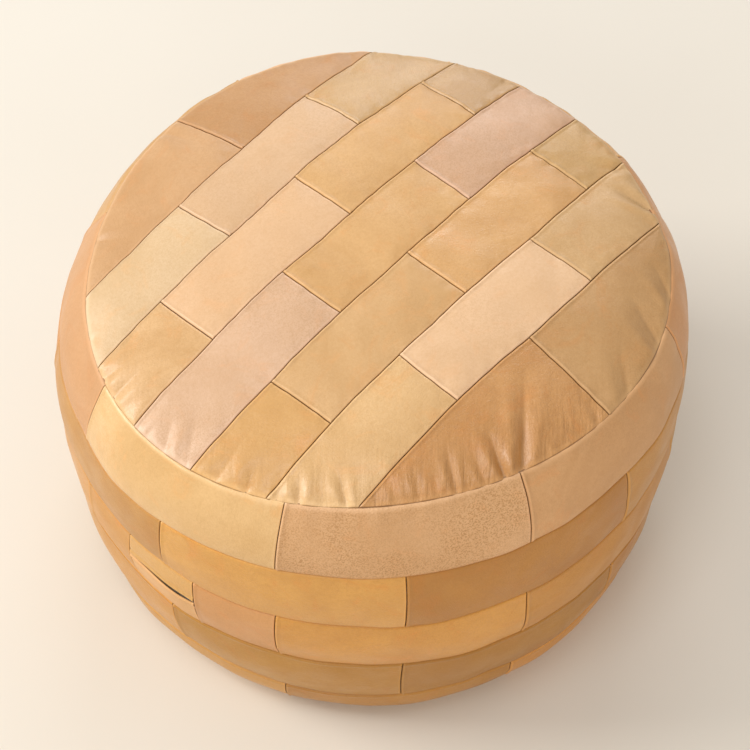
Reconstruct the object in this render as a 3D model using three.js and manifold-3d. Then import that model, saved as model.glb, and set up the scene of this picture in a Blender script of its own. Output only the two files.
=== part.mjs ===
// Moroccan leather pouf: a low round floor cushion in a cover of sewn leather patches.
// The lid is seven straight strips of patches, the wall five courses of patches laid like brickwork.
// One patch in the middle course is a small placket: its flap lifts to reach the zip.
// Millimetres, +Z up, origin at the centre of the base where it meets the floor.
import * as THREE from "three";
import { mergeVertices } from "three/addons/utils/BufferGeometryUtils.js";
import Module from "manifold-3d";

const wasm = await Module();
wasm.setup();

// ---- Driving dimensions ----
const TOP_SEAM_RADIUS = 270;
const CROWN_RISE = 32;
const CROWN_POWER = 2.6;
// Courses from the lid down: cut width, lean (outward going down, degrees) and how far each puffs out.
const COURSES = [
  { width: 78.5, lean: 21.4, puff: 4 },
  { width: 78.5, lean: 2, puff: 3 },
  { width: 78.5, lean: -2.5, puff: 3 },
  { width: 78.5, lean: -7, puff: 3 },
  { width: 61.5, lean: -23.4, puff: 6 },
];
const LEATHER = 2.2;
const SEAM_GAP = 0.6;

// Lid strips: pitch, how far the middle strip sits off centre, and the angle they run at.
// Their number, and the patches in each, are those of LID_SHADES.
const STRIP_PITCH = 70;
const STRIP_OFFSET = 5;
const STRIP_ANGLE = 48.25;
const LID_PATCH_LENGTH = 180;
const LID_JOINT_ODD = 12;
const LID_JOINT_EVEN = 102;

// Wall patches: how many go round, and where a joint of the odd courses lies (degrees).
const WALL_PATCHES = 8;
const WALL_JOINT = -106.5;

// Placket, in the patch that ends at WALL_JOINT: the arcs of its two side pieces (degrees),
// and the height of the slit above the seam below it.
const PLACKET_LEFT_ARC = 13.5;
const PLACKET_RIGHT_ARC = 16;
const SLIT_HEIGHT = 43;
const SLIT_GAP = 1.6;

// Zip behind the flap, measured across its thickness (out to in) and its width.
const ZIP_ABOVE_SLIT = 10;
const BRIDGE_THICKNESS = 0.9;
const BRIDGE_WIDTH = 2.4;
const POST_LENGTH = 1;
const POST_INSET = 1.8;
const PULLER_THICKNESS = 1.2;
const PULLER_LENGTH = 20;
const PULLER_WIDTH = 6.4;
const PULLER_BAR = 1.4;
const PULLER_WINDOW = 4;
const SLIDER_PLATE = 1.2;
const SLIDER_LENGTH = 11;
const SLIDER_FLANGE = 1.5;
const COIL_THICKNESS = 2;
const COIL_WIDTH = 5.6;
const TAPE_THICKNESS = 0.8;
const TAPE_WIDTH = 14;
const GUARD_THICKNESS = 1;
const GUARD_MARGIN = 3;

// Padding layers under the leather.
const WADDING = 8;
const LINER = 1.2;
const LINER_SLIT = { length: 60, height: 4 };
// How far the wadding's cut-out reaches past the placket at each end (degrees).
const PORT_MARGIN = 1;

// Clearances.
const RUNNING_CLEARANCE = 0.4;
const REST_GAP = 0.4;
const LAYER_GAP = 0.8;

// ---- Resolution ----
const SEGMENTS = 48;
const CROWN_STEPS = [0, 0.2, 0.4, 0.58, 0.74, 0.87, 0.95, 1];
const COURSE_STEPS = [0, 0.25, 0.5, 0.75, 1];
const LAYER_SEGMENTS = 24;
const LAYER_CROWN_STEPS = [0, 0.4, 0.7, 0.87];

// ---- Colours ----
const SHADES = {
  tan: 0xd4a273,
  cream: 0xe6c491,
  peach: 0xe5bb8f,
  olive: 0xcfae7c,
  gold: 0xd9a259,
  honey: 0xd8a76b,
  mauve: 0xd8ae90,
  khaki: 0xc79c66,
  amber: 0xbf8246,
  umber: 0xb48350,
};
const LID_SHADES = [
  ["tan", "tan"],
  ["cream", "peach", "olive"],
  ["gold", "peach", "honey", "olive"],
  ["mauve", "honey", "mauve"],
  ["gold", "honey", "gold", "khaki"],
  ["olive", "peach", "khaki"],
  ["amber", "umber"],
];
const WALL_SHADES = [
  ["mauve", "honey", "tan", "gold", "peach", "khaki", "peach", "gold"],
  ["umber", "khaki", "gold", "honey", "khaki", "tan", "khaki", "gold"],
  ["gold", "honey", "khaki", "gold", "tan", "honey", "gold"],
];

// ---- Small helpers ----
const radians = THREE.MathUtils.degToRad;

function leather(shade) {
  return new THREE.MeshStandardMaterial({ color: SHADES[shade], roughness: 0.5, metalness: 0 });
}

function cloth(color) {
  return new THREE.MeshStandardMaterial({ color, roughness: 0.95, metalness: 0 });
}

function metal() {
  return new THREE.MeshStandardMaterial({ color: 0xb08d57, roughness: 0.35, metalness: 1 });
}

// A closed geometry as a solid that can be joined and cut.
function solid(geometry) {
  const bare = geometry.clone();
  bare.deleteAttribute("normal");
  bare.deleteAttribute("uv");
  const merged = mergeVertices(bare);
  const mesh = new wasm.Mesh({
    numProp: 3,
    vertProperties: new Float32Array(merged.attributes.position.array),
    triVerts: new Uint32Array(merged.index.array),
  });
  return new wasm.Manifold(mesh);
}

function geometryOf(body) {
  const mesh = body.getMesh();
  const geometry = new THREE.BufferGeometry();
  geometry.setAttribute("position", new THREE.BufferAttribute(mesh.vertProperties, 3));
  geometry.setIndex(new THREE.BufferAttribute(mesh.triVerts, 1));
  geometry.computeVertexNormals();
  return geometry;
}

// A ring or body of revolution about +Z from [radius, height] points, anticlockwise, with a
// facet edge on every wall joint.
function turned(points, segments = SEGMENTS) {
  const profile = points.map(([r, z]) => new THREE.Vector2(r, z));
  const lathe = new THREE.LatheGeometry(profile, segments, radians(WALL_JOINT + 90), 2 * Math.PI);
  return solid(lathe.rotateX(Math.PI / 2));
}

function block(x0, x1, y0, y1, z0, z1) {
  const box = new THREE.BoxGeometry(x1 - x0, y1 - y0, z1 - z0);
  return solid(box.translate((x0 + x1) / 2, (y0 + y1) / 2, (z0 + z1) / 2));
}

// ---- Outline of the pouf ----
// Seam points from the lid's edge down to the floor, as [radius, height].
const SEAMS = [[TOP_SEAM_RADIUS, 0]];
for (const { width, lean } of COURSES) {
  const [r, z] = SEAMS.at(-1);
  SEAMS.push([r + width * Math.sin(radians(lean)), z - width * Math.cos(radians(lean))]);
}
const TOP_SEAM_HEIGHT = -SEAMS.at(-1)[1];
for (const seam of SEAMS) {
  seam[1] += TOP_SEAM_HEIGHT;
}
const BASE_RADIUS = SEAMS.at(-1)[0];
const SEGMENT_COS = Math.cos(Math.PI / SEGMENTS);

// A point of a course's outer face, t going from its upper seam to its lower one, and its normal.
function coursePoint(course, t) {
  const [r0, z0] = SEAMS[course];
  const [r1, z1] = SEAMS[course + 1];
  const { width, puff } = COURSES[course];
  const along = [(r1 - r0) / width, (z1 - z0) / width];
  const out = [-along[1], along[0]];
  const bulge = 4 * puff * t * (1 - t);
  const slope = (4 * puff * (1 - 2 * t)) / width;
  const length = Math.hypot(1, slope);
  return {
    r: r0 + (r1 - r0) * t + out[0] * bulge,
    z: z0 + (z1 - z0) * t + out[1] * bulge,
    normal: [(out[0] - along[0] * slope) / length, (out[1] - along[1] * slope) / length],
  };
}

function crownHeight(r) {
  return TOP_SEAM_HEIGHT + CROWN_RISE * (1 - (r / TOP_SEAM_RADIUS) ** CROWN_POWER);
}

// ---- Wall ----
// A leather course between two of its own t values, as a full ring.
function courseRing(course, from = 0, to = 1) {
  const trim = SEAM_GAP / COURSES[course].width;
  const steps = COURSE_STEPS.map((s) => from + trim + (to - from - 2 * trim) * s);
  const face = steps.map((t) => coursePoint(course, t));
  const outer = face.map((p) => [p.r, p.z]).reverse();
  const inner = face.map((p) => [p.r - p.normal[0] * LEATHER, p.z - p.normal[1] * LEATHER]);
  return turned([...outer, ...inner, outer[0]]);
}

// A wedge of everything between two azimuths (degrees), half a seam gap in from each.
function wedge(start, end) {
  const reach = 2 * (TOP_SEAM_RADIUS + COURSES[0].width);
  const half = radians(end - start) / 2;
  const middle = radians(start) + half;
  const apex = SEAM_GAP / 2 / Math.sin(half);
  const corner = (angle) => [
    apex * Math.cos(middle) + reach * Math.cos(angle),
    apex * Math.sin(middle) + reach * Math.sin(angle),
  ];
  const outline = new THREE.Shape();
  outline.moveTo(apex * Math.cos(middle), apex * Math.sin(middle));
  outline.lineTo(...corner(middle - half));
  outline.lineTo(...corner(middle + half));
  outline.closePath();
  const height = TOP_SEAM_HEIGHT + CROWN_RISE;
  const prism = new THREE.ExtrudeGeometry(outline, { depth: 3 * height, bevelEnabled: false });
  return solid(prism.translate(0, 0, -height));
}

const PATCH_ARC = 360 / WALL_PATCHES;
const PLACKET = {
  start: WALL_JOINT - PATCH_ARC + PLACKET_LEFT_ARC,
  end: WALL_JOINT - PLACKET_RIGHT_ARC,
};
const PLACKET_COURSE = 2;

const group = new THREE.Group();

function add(name, body, material) {
  const mesh = new THREE.Mesh(geometryOf(body), material);
  mesh.name = name;
  group.add(mesh);
  return mesh;
}

// Patch k of a course starts k patches round from the course's first joint.
function wallPatches(course) {
  const ring = courseRing(course);
  const first = WALL_JOINT + (course % 2) * (PATCH_ARC / 2);
  WALL_SHADES[course].forEach((shade, k) => {
    const start = first + k * PATCH_ARC;
    const patch = ring.intersect(wedge(start, start + PATCH_ARC));
    add(`course${course + 1}_patch${k + 1}`, patch, leather(shade));
  });
}

function placket() {
  const ring = courseRing(PLACKET_COURSE);
  const patchStart = WALL_JOINT - PATCH_ARC;
  add("placket_side_left", ring.intersect(wedge(patchStart, PLACKET.start)), leather("honey"));
  add("placket_side_right", ring.intersect(wedge(PLACKET.end, WALL_JOINT)), leather("mauve"));
  const { width } = COURSES[PLACKET_COURSE];
  const slit = 1 - SLIT_HEIGHT / width;
  const half = (SLIT_GAP / 2 - SEAM_GAP) / width;
  const opening = wedge(PLACKET.start, PLACKET.end);
  add("placket_flap", courseRing(PLACKET_COURSE, 0, slit - half).intersect(opening), leather("gold"));
  add("placket_facing", courseRing(PLACKET_COURSE, slit + half, 1).intersect(opening), leather("peach"));
}

function lowerCourses() {
  add("course4_ring", courseRing(3), leather("khaki"));
  add("course5_ring", courseRing(4), leather("umber"));
}

// ---- Lid ----
function crownShell() {
  const edge = TOP_SEAM_RADIUS - LEATHER - SEAM_GAP;
  const outer = CROWN_STEPS.map((s) => [edge * s, crownHeight(edge * s)]);
  const inner = outer.map(([r, z]) => [r, z - LEATHER]);
  return turned([...inner, ...outer.reverse()]);
}

// Seams across a strip, a patch length apart: one fewer than its patches, and staggered from the
// next strip. The end patches run out to the rim.
function stripJoints(strip) {
  const patches = LID_SHADES[strip].length;
  const first = strip % 2 === 0 ? LID_JOINT_ODD : LID_JOINT_EVEN;
  const before = Math.floor((patches - 1) / 2);
  const joints = [];
  for (let k = 0; k < patches - 1; k += 1) {
    joints.push(first + (k - before) * LID_PATCH_LENGTH);
  }
  return [-2 * TOP_SEAM_RADIUS, ...joints, 2 * TOP_SEAM_RADIUS];
}

function lidPatches() {
  const shell = crownShell();
  const half = SEAM_GAP / 2;
  const top = TOP_SEAM_HEIGHT + 2 * CROWN_RISE;
  const bottom = TOP_SEAM_HEIGHT - 2 * CROWN_RISE;
  LID_SHADES.forEach((shades, strip) => {
    const last = LID_SHADES.length - 1;
    const middle = (last / 2 - strip) * STRIP_PITCH + STRIP_OFFSET;
    const high = strip === 0 ? 2 * TOP_SEAM_RADIUS : middle + STRIP_PITCH / 2 - half;
    const low = strip === last ? -2 * TOP_SEAM_RADIUS : middle - STRIP_PITCH / 2 + half;
    const joints = stripJoints(strip);
    shades.forEach((shade, k) => {
      const box = new THREE.BoxGeometry(
        joints[k + 1] - joints[k] - SEAM_GAP, high - low, top - bottom);
      box.translate((joints[k] + joints[k + 1]) / 2, (high + low) / 2, (top + bottom) / 2);
      const patch = shell.intersect(solid(box.rotateZ(radians(STRIP_ANGLE))));
      add(`lid_strip${strip + 1}_patch${k + 1}`, patch, leather(shade));
    });
  });
}

function basePanel() {
  const r = BASE_RADIUS - LEATHER - SEAM_GAP;
  add("base_panel", turned([[0, 0], [r, 0], [r, LEATHER], [0, LEATHER]]), leather("umber"));
}

// ---- Zip ----
// Radii from the flap's inner face inwards. Each piece starts a clearance behind the one before.
const POCKET_FACE = (SEAMS[PLACKET_COURSE][0] - LEATHER) * SEGMENT_COS;
const BAR_REACH = Math.hypot(PULLER_THICKNESS, PULLER_BAR) / 2 + RUNNING_CLEARANCE / 2;
const BRIDGE_OUT = POCKET_FACE - REST_GAP;
const PIVOT_RADIUS = BRIDGE_OUT - BRIDGE_THICKNESS - BAR_REACH;
const PLATE_OUT = PIVOT_RADIUS - BAR_REACH;
const PLATE_IN = PLATE_OUT - SLIDER_PLATE;
const COIL_OUT = PLATE_IN - RUNNING_CLEARANCE;
const TAPE_OUT = COIL_OUT - COIL_THICKNESS - REST_GAP;
const GUARD_OUT = TAPE_OUT - TAPE_THICKNESS - REST_GAP;
const GUARD_IN = GUARD_OUT - GUARD_THICKNESS;
const ZIP_HEIGHT = SEAMS[PLACKET_COURSE + 1][1] + SLIT_HEIGHT + ZIP_ABOVE_SLIT;
const SLIDER_HALF = COIL_WIDTH / 2 + RUNNING_CLEARANCE + SLIDER_FLANGE;
// The slider rests where its puller just reaches the end of the zip.
const SLIDER_AZIMUTH = PLACKET.end
  - THREE.MathUtils.radToDeg((PULLER_LENGTH + GUARD_MARGIN) / PIVOT_RADIUS);

// A strip bent to a radius, between two heights, as long as the placket.
function bentStrip(inner, outer, low, high) {
  const ring = turned([[inner, low], [outer, low], [outer, high], [inner, high], [inner, low]]);
  return ring.intersect(wedge(PLACKET.start, PLACKET.end));
}

function zipTapes() {
  const inner = TAPE_OUT - TAPE_THICKNESS;
  const half = REST_GAP / 2;
  const upper = bentStrip(inner, TAPE_OUT, ZIP_HEIGHT + half, ZIP_HEIGHT + TAPE_WIDTH);
  const lower = bentStrip(inner, TAPE_OUT, ZIP_HEIGHT - TAPE_WIDTH, ZIP_HEIGHT - half);
  add("zip_tape_upper", upper, cloth(0x7a5a3a));
  add("zip_tape_lower", lower, cloth(0x7a5a3a));
  const coilLow = ZIP_HEIGHT - COIL_WIDTH / 2;
  const coil = bentStrip(COIL_OUT - COIL_THICKNESS, COIL_OUT, coilLow, coilLow + COIL_WIDTH);
  add("zip_coil", coil, metal());
  const reach = TAPE_WIDTH + GUARD_MARGIN;
  add("zip_guard", bentStrip(GUARD_IN, GUARD_OUT, ZIP_HEIGHT - reach, ZIP_HEIGHT + reach), leather("umber"));
}

// The slider's channel rides over the coil, and a bridge on its face holds the puller's bar.
// Here x runs outward, y along the zip and z up, from the pouf's axis.
function zipSlider() {
  const end = SLIDER_LENGTH / 2;
  const plate = block(PLATE_IN, PLATE_OUT, -end, end, -SLIDER_HALF, SLIDER_HALF);
  const flangeIn = TAPE_OUT + RUNNING_CLEARANCE;
  const flangeZ = SLIDER_HALF - SLIDER_FLANGE;
  const upper = block(flangeIn, PLATE_OUT, -end, end, flangeZ, SLIDER_HALF);
  const lower = block(flangeIn, PLATE_OUT, -end, end, -SLIDER_HALF, -flangeZ);
  const half = BRIDGE_WIDTH / 2;
  const far = POST_INSET + POST_LENGTH;
  const bridge = block(BRIDGE_OUT - BRIDGE_THICKNESS, BRIDGE_OUT, -far, far, -half, half);
  const root = (PLATE_IN + PLATE_OUT) / 2;
  const left = block(root, BRIDGE_OUT, -far, -POST_INSET, -half, half);
  const right = block(root, BRIDGE_OUT, POST_INSET, far, -half, half);
  const body = plate.add(upper).add(lower).add(bridge).add(left).add(right);
  placeOnZip(add("zip_slider", body, metal()));
}

// A flat tab with a window: the bar between the window and its end turns under the bridge.
function zipPuller() {
  const half = PULLER_WIDTH / 2;
  const bar = PULLER_BAR / 2;
  const tab = new THREE.Shape();
  tab.moveTo(-bar, -half);
  tab.lineTo(PULLER_LENGTH - bar - half, -half);
  tab.absarc(PULLER_LENGTH - bar - half, 0, half, -Math.PI / 2, Math.PI / 2, false);
  tab.lineTo(-bar, half);
  tab.closePath();
  const windowHalf = BRIDGE_WIDTH / 2 + RUNNING_CLEARANCE;
  const hole = new THREE.Path();
  hole.moveTo(bar, -windowHalf);
  hole.lineTo(bar, windowHalf);
  hole.lineTo(bar + PULLER_WINDOW, windowHalf);
  hole.lineTo(bar + PULLER_WINDOW, -windowHalf);
  hole.closePath();
  tab.holes.push(hole);
  const plate = new THREE.ExtrudeGeometry(tab, {
    depth: PULLER_THICKNESS, bevelEnabled: false, curveSegments: 8,
  });
  plate.translate(0, 0, -PULLER_THICKNESS / 2);
  // Shape x becomes y along the zip, shape y becomes z, and its thickness becomes x outward.
  plate.rotateX(Math.PI / 2).rotateZ(Math.PI / 2).translate(PIVOT_RADIUS, 0, 0);
  placeOnZip(add("zip_puller", solid(plate), metal()));
}

function placeOnZip(mesh) {
  mesh.rotation.z = radians(SLIDER_AZIMUTH);
  mesh.position.z = ZIP_HEIGHT;
}

// ---- Padding ----
// The pouf's outline pushed in by a depth, from the middle of the lid down to the height given.
function layerOutline(depth, bottom) {
  const crownNormal = (s) => {
    const slope = (CROWN_RISE * CROWN_POWER * s ** (CROWN_POWER - 1)) / TOP_SEAM_RADIUS;
    return [slope / Math.hypot(1, slope), 1 / Math.hypot(1, slope)];
  };
  const points = LAYER_CROWN_STEPS.map((s) => {
    const [nr, nz] = crownNormal(s);
    const r = TOP_SEAM_RADIUS * s;
    return [r - nr * depth, crownHeight(r) - nz * depth];
  });
  // The corner under the top seam lies where the two pushed-in faces meet.
  const [ar, az] = crownNormal(1);
  const [br, bz] = coursePoint(0, 0).normal;
  const miter = depth / (1 + ar * br + az * bz);
  points.push([TOP_SEAM_RADIUS - (ar + br) * miter, TOP_SEAM_HEIGHT - (az + bz) * miter]);
  COURSES.forEach((course, k) => {
    for (const t of k === 0 ? [0.5] : [0, 0.5]) {
      const p = coursePoint(k, t);
      points.push([p.r - p.normal[0] * depth, p.z - p.normal[1] * depth]);
    }
  });
  points.push([BASE_RADIUS - depth, 0]);
  const below = points.findIndex(([, z]) => z < bottom);
  const [r0, z0] = points[below - 1];
  const [r1, z1] = points[below];
  const foot = r0 + ((r1 - r0) * (z0 - bottom)) / (z0 - z1);
  return [...points.slice(0, below), [foot, bottom]];
}

function closedLayer(depth, bottom) {
  return turned([[0, bottom], ...layerOutline(depth, bottom).reverse()], LAYER_SEGMENTS);
}

// A padded cap over the top and wall, cut away round the zip, with the leather base under it.
const WADDING_DEPTH = LEATHER + LAYER_GAP;

function wadding() {
  const bottom = LEATHER + LAYER_GAP;
  const outline = closedLayer(WADDING_DEPTH, bottom);
  const hollow = closedLayer(WADDING_DEPTH + WADDING, bottom - LAYER_GAP / 2);
  const reach = TAPE_WIDTH + 2 * GUARD_MARGIN;
  const inner = GUARD_IN - WADDING;
  const outer = 2 * TOP_SEAM_RADIUS;
  const low = ZIP_HEIGHT - reach;
  const high = ZIP_HEIGHT + reach;
  const band = turned([[inner, low], [outer, low], [outer, high], [inner, high], [inner, low]]);
  const port = band.intersect(wedge(PLACKET.start - PORT_MARGIN, PLACKET.end + PORT_MARGIN));
  add("wadding", outline.subtract(hollow).subtract(port), cloth(0xefe9dc));
}

// The inner bag and its filling clear both the wadding and the zip's guard.
function innerBag() {
  const widest = Math.max(...COURSE_STEPS.map((t) => coursePoint(PLACKET_COURSE, t).r));
  const guardDepth = widest - GUARD_IN * SEGMENT_COS;
  const depth = Math.max(WADDING_DEPTH + WADDING, guardDepth) + LAYER_GAP;
  const bottom = LEATHER + LAYER_GAP;
  const bag = closedLayer(depth, bottom).subtract(closedLayer(depth + LINER, bottom + LINER));
  const { length, height } = LINER_SLIT;
  const slit = block(0, 2 * TOP_SEAM_RADIUS, -length / 2, length / 2,
    ZIP_HEIGHT - height / 2, ZIP_HEIGHT + height / 2);
  const middle = (PLACKET.start + PLACKET.end) / 2;
  add("liner_bag", bag.subtract(slit.rotate([0, 0, middle])), cloth(0xe8e0cf));
  const fillDepth = depth + LINER + LAYER_GAP;
  add("filling", closedLayer(fillDepth, bottom + LINER + LAYER_GAP), cloth(0xf4f1ea));
}

lidPatches();
wallPatches(0);
wallPatches(1);
wallPatches(2);
placket();
lowerCourses();
basePanel();
zipTapes();
zipSlider();
zipPuller();
wadding();
innerBag();

export default group;
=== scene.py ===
"""Moroccan leather pouf: the sewn patchwork cover, its placket and zip, and the padding inside,
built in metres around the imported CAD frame."""

import math
import bmesh
import bpy
import numpy as np
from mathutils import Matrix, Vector


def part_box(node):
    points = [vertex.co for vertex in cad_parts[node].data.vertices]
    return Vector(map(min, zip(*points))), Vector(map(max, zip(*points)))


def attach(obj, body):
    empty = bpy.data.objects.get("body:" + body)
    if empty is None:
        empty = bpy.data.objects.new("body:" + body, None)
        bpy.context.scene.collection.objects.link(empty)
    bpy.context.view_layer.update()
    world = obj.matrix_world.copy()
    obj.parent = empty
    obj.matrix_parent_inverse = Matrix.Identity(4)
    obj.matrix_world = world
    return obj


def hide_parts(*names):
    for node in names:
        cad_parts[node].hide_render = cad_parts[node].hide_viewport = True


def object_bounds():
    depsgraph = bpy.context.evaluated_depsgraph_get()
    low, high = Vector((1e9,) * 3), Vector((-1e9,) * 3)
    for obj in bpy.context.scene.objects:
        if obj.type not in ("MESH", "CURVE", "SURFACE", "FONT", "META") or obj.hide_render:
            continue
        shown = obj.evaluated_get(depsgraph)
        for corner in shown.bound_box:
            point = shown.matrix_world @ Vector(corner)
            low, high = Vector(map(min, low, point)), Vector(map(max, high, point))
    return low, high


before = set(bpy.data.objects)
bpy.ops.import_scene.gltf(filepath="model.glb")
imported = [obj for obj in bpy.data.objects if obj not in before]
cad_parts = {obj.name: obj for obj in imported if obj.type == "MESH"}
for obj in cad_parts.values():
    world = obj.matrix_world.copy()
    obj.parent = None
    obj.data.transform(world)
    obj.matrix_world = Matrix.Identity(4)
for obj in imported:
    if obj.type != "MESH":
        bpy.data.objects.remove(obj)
cad_low, cad_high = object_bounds()

# ---- Layout of the cover, as in the CAD ----
STRIP_ANGLE = math.radians(48.25)
STRIP_PITCH = 0.070
STRIP_OFFSET = 0.005
LID_PATCH_LENGTH = 0.180
LID_JOINTS = (0.012, 0.102)
WALL_PATCHES = 8
WALL_JOINT = math.radians(-106.5)
PLACKET_ARCS = (math.radians(13.5), math.radians(15.5), math.radians(16))
LIP_THICKNESS = 0.0022
TOOTH_PITCH = 0.0026
# How far the flap (-1) and the facing (1) stand out at their free edges.
LIP_STAND = {-1: -0.0004, 1: 0.0026}
LIP_REACH = 0.026
# How much wider the slit is at its right end.
SLIT_OPENING = 0.0026
# How far the soft slit sits above the CAD's.
SLIT_RAISE = 0.0030
# The opening in the wadding round the zip, past the guard's sides and past its edges.
PORT_MARGIN = math.radians(1)
PORT_REACH = 0.003
# The filling slit in the inner bag: its length and half its height.
FILLING_SLIT_LENGTH = 0.060
FILLING_SLIT_REACH = 0.004
WADDING = 0.008
LAYER_GAP = 0.0008

# ---- How the leather lies ----
GAP = 0.00018
TUCK = 0.0005
# How much further the wall is tucked under the lid's rim at the back.
BACK_TUCK = 0.0040
SKIRT = 0.0010
LID_STEP = 0.0017
WALL_STEP = 0.0030
EDGE_STEPS = (0.00015, 0.0005, 0.0010, 0.0017, 0.0026, 0.0040)
SEAM_DEPTH = 0.0013
LID_ROLL = 0.0018
RIM_ROLL = 0.0085
RIM_DEPTH = 0.0019
LID_PUFF = 0.0021
WALL_PUFF = (0.0052, 0.0045, 0.0045, 0.0045, 0.0070)
# How round each course is at its upper and lower seam, and the ridge along its upper seam.
UPPER_ROLL = (0.0050, 0.0045, 0.0040, 0.0026, 0.0026)
UPPER_DEPTH = (0.0022, 0.0013, 0.0013, 0.0013, 0.0013)
UPPER_RIDGE = (0.0, 0.0001, 0.0002, 0.0009, 0.0009)
LOWER_ROLL = 0.0060
# How much less painted seam shade, dirt and painted highlight a level wall seam has than an upright one.
LEVEL_SEAM_FADE = 0.0030
# The rim's dark line of painted shade and dirt is drawn wider than a patch seam's.
RIM_LINE = 0.50
# From this course down, a painted highlight runs along the upper seams.
CRESTED = 3
# The ridge beside a seam: how far from it, how wide and how high.
RIDGE_PLACE = 0.0021
RIDGE_WIDTH = 0.0011
RIDGE = 0.0009
# The cover's broad unevenness, and how far in from the rim the leather is drawn.
BROAD = 0.0008
STRAIN_REACH = 0.050
# Stands for no seam near.
FAR = 1.0
WAVES = 28

# The soft lid isn't a true circle: it sits a little off centre, tilted and three-lobed.
LID_SHIFT = (0.0035, -0.0030)
LID_TILT = (0.0100, -0.0020)
LID_LOBES = (0.0040, -0.0040)


# ---- Sizes read from the frame ----
def corner(nodes, way):
    """The outermost point of a course's upper (way 1) or lower (way -1) edge, as radius and height."""
    found = []
    for node in nodes:
        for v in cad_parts[node].data.vertices:
            r = math.hypot(v.co.x, v.co.y)
            found.append((way * v.co.z + r / 2, r, v.co.z))
    return np.array(max(found)[1:])


COURSE_NODES = [
    [f"course1_patch{k + 1}" for k in range(WALL_PATCHES)],
    [f"course2_patch{k + 1}" for k in range(WALL_PATCHES)],
    [f"course3_patch{k + 1}" for k in range(WALL_PATCHES - 1)],
    ["course4_ring"],
    ["course5_ring"],
]
EDGES = [(corner(nodes, 1), corner(nodes, -1)) for nodes in COURSE_NODES]
SEAMS = [EDGES[0][0]]
SEAMS += [(EDGES[k][1] + EDGES[k + 1][0]) / 2 for k in range(len(EDGES) - 1)]
SEAMS.append(np.array([EDGES[-1][1][0], 0.0]))
LID_RADIUS, LID_HEIGHT = SEAMS[0]
CROWN_RISE = cad_high.z - LID_HEIGHT
CROWN_POWER = 2.6


# ---- Shape of the soft cover ----
def ripples(points, wavelength, seed):
    """Smooth random unevenness of about unit size."""
    rng = np.random.default_rng(seed)
    waves = rng.normal(size=(WAVES, 3))
    waves /= np.linalg.norm(waves, axis=1, keepdims=True)
    waves *= 2 * np.pi / wavelength * rng.uniform(0.6, 1.5, (WAVES, 1))
    phases = rng.uniform(0, 2 * np.pi, WAVES)
    return np.sin(points @ waves.T + phases).sum(-1) / math.sqrt(WAVES / 2)


def settle(points):
    """Moves points with the lid's shift, tilt and lobes, which fade out two courses down."""
    x, y, z = points[..., 0], points[..., 1], points[..., 2]
    share = np.clip((z - SEAMS[2][1]) / (LID_HEIGHT - SEAMS[2][1]), 0, 1)
    share = share * share * (3 - 2 * share)
    r, phi = np.hypot(x, y), np.arctan2(y, x)
    lobes = LID_LOBES[0] * np.cos(3 * phi) + LID_LOBES[1] * np.sin(3 * phi)
    near = np.clip(r / LID_RADIUS, 0, 1) ** 2
    out = share * near * lobes
    tilt = (LID_TILT[0] * np.cos(phi) + LID_TILT[1] * np.sin(phi)) * near
    moved = points.copy()
    moved[..., 0] += share * LID_SHIFT[0] + out * np.cos(phi)
    moved[..., 1] += share * LID_SHIFT[1] + out * np.sin(phi)
    moved[..., 2] += share * tilt
    return moved


# Folds where the lid is eased onto the rim: rim azimuth, length, direction, depth, width.
FOLDS = [
    (-61.6, 0.112, 88, 0.0042, 0.0066),
    (-64.6, 0.056, 110, 0.0034, 0.0046),
    (-68.5, 0.040, 112, 0.0012, 0.0032),
    (-74.4, 0.052, 102, 0.0023, 0.0036),
    (-78.0, 0.030, 100, 0.0009, 0.0028),
    (-81.5, 0.036, 97, 0.0013, 0.0032),
    (-86.0, 0.030, 96, 0.0008, 0.0030),
    (-43.5, 0.030, 110, 0.0020, 0.0042),
    (-52.0, 0.024, 100, 0.0008, 0.0040),
    (-94.5, 0.044, 104, 0.0026, 0.0040),
    (-99.0, 0.060, 92, 0.0010, 0.0060),
    (-103.5, 0.034, 90, 0.0024, 0.0042),
    (-108.0, 0.030, 76, 0.0009, 0.0040),
    (-114.0, 0.034, 66, 0.0014, 0.0055),
    (-120.0, 0.060, 56, 0.0013, 0.0080),
    (-126.0, 0.068, 80, 0.0012, 0.0075),
    (-131.0, 0.042, 78, 0.0013, 0.0060),
    (-139.0, 0.036, 52, 0.0009, 0.0050),
    (-148.0, 0.046, 38, 0.0018, 0.0065),
    (-153.0, 0.034, 20, 0.0014, 0.0060),
    (-35.0, 0.058, 100, 0.0017, 0.0085),
    (-22.0, 0.070, 116, 0.0024, 0.0100),
    (-11.0, 0.052, 112, 0.0020, 0.0070),
    (11.5, 0.056, 148, 0.0040, 0.0062),
    (8.0, 0.030, 96, 0.0014, 0.0050),
    (24.0, 0.045, 185, 0.0016, 0.0060),
    (60.0, 0.050, 235, 0.0012, 0.0080),
    (95.0, 0.055, 275, 0.0012, 0.0090),
    (140.0, 0.050, 320, 0.0014, 0.0080),
    (172.0, 0.046, 350, 0.0013, 0.0070),
]
PUCKER_SEED = 7


def small_puckers():
    """Short tucks all round the rim, at seeded places."""
    rng = np.random.default_rng(PUCKER_SEED)
    azimuth, found = -180.0, []
    while azimuth < 180:
        found.append((azimuth, rng.uniform(0.008, 0.022), azimuth + 180 + rng.uniform(-25, 25),
                      rng.uniform(0.0002, 0.0008), rng.uniform(0.0022, 0.0038)))
        azimuth += rng.uniform(2.2, 5.0)
    return found


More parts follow.
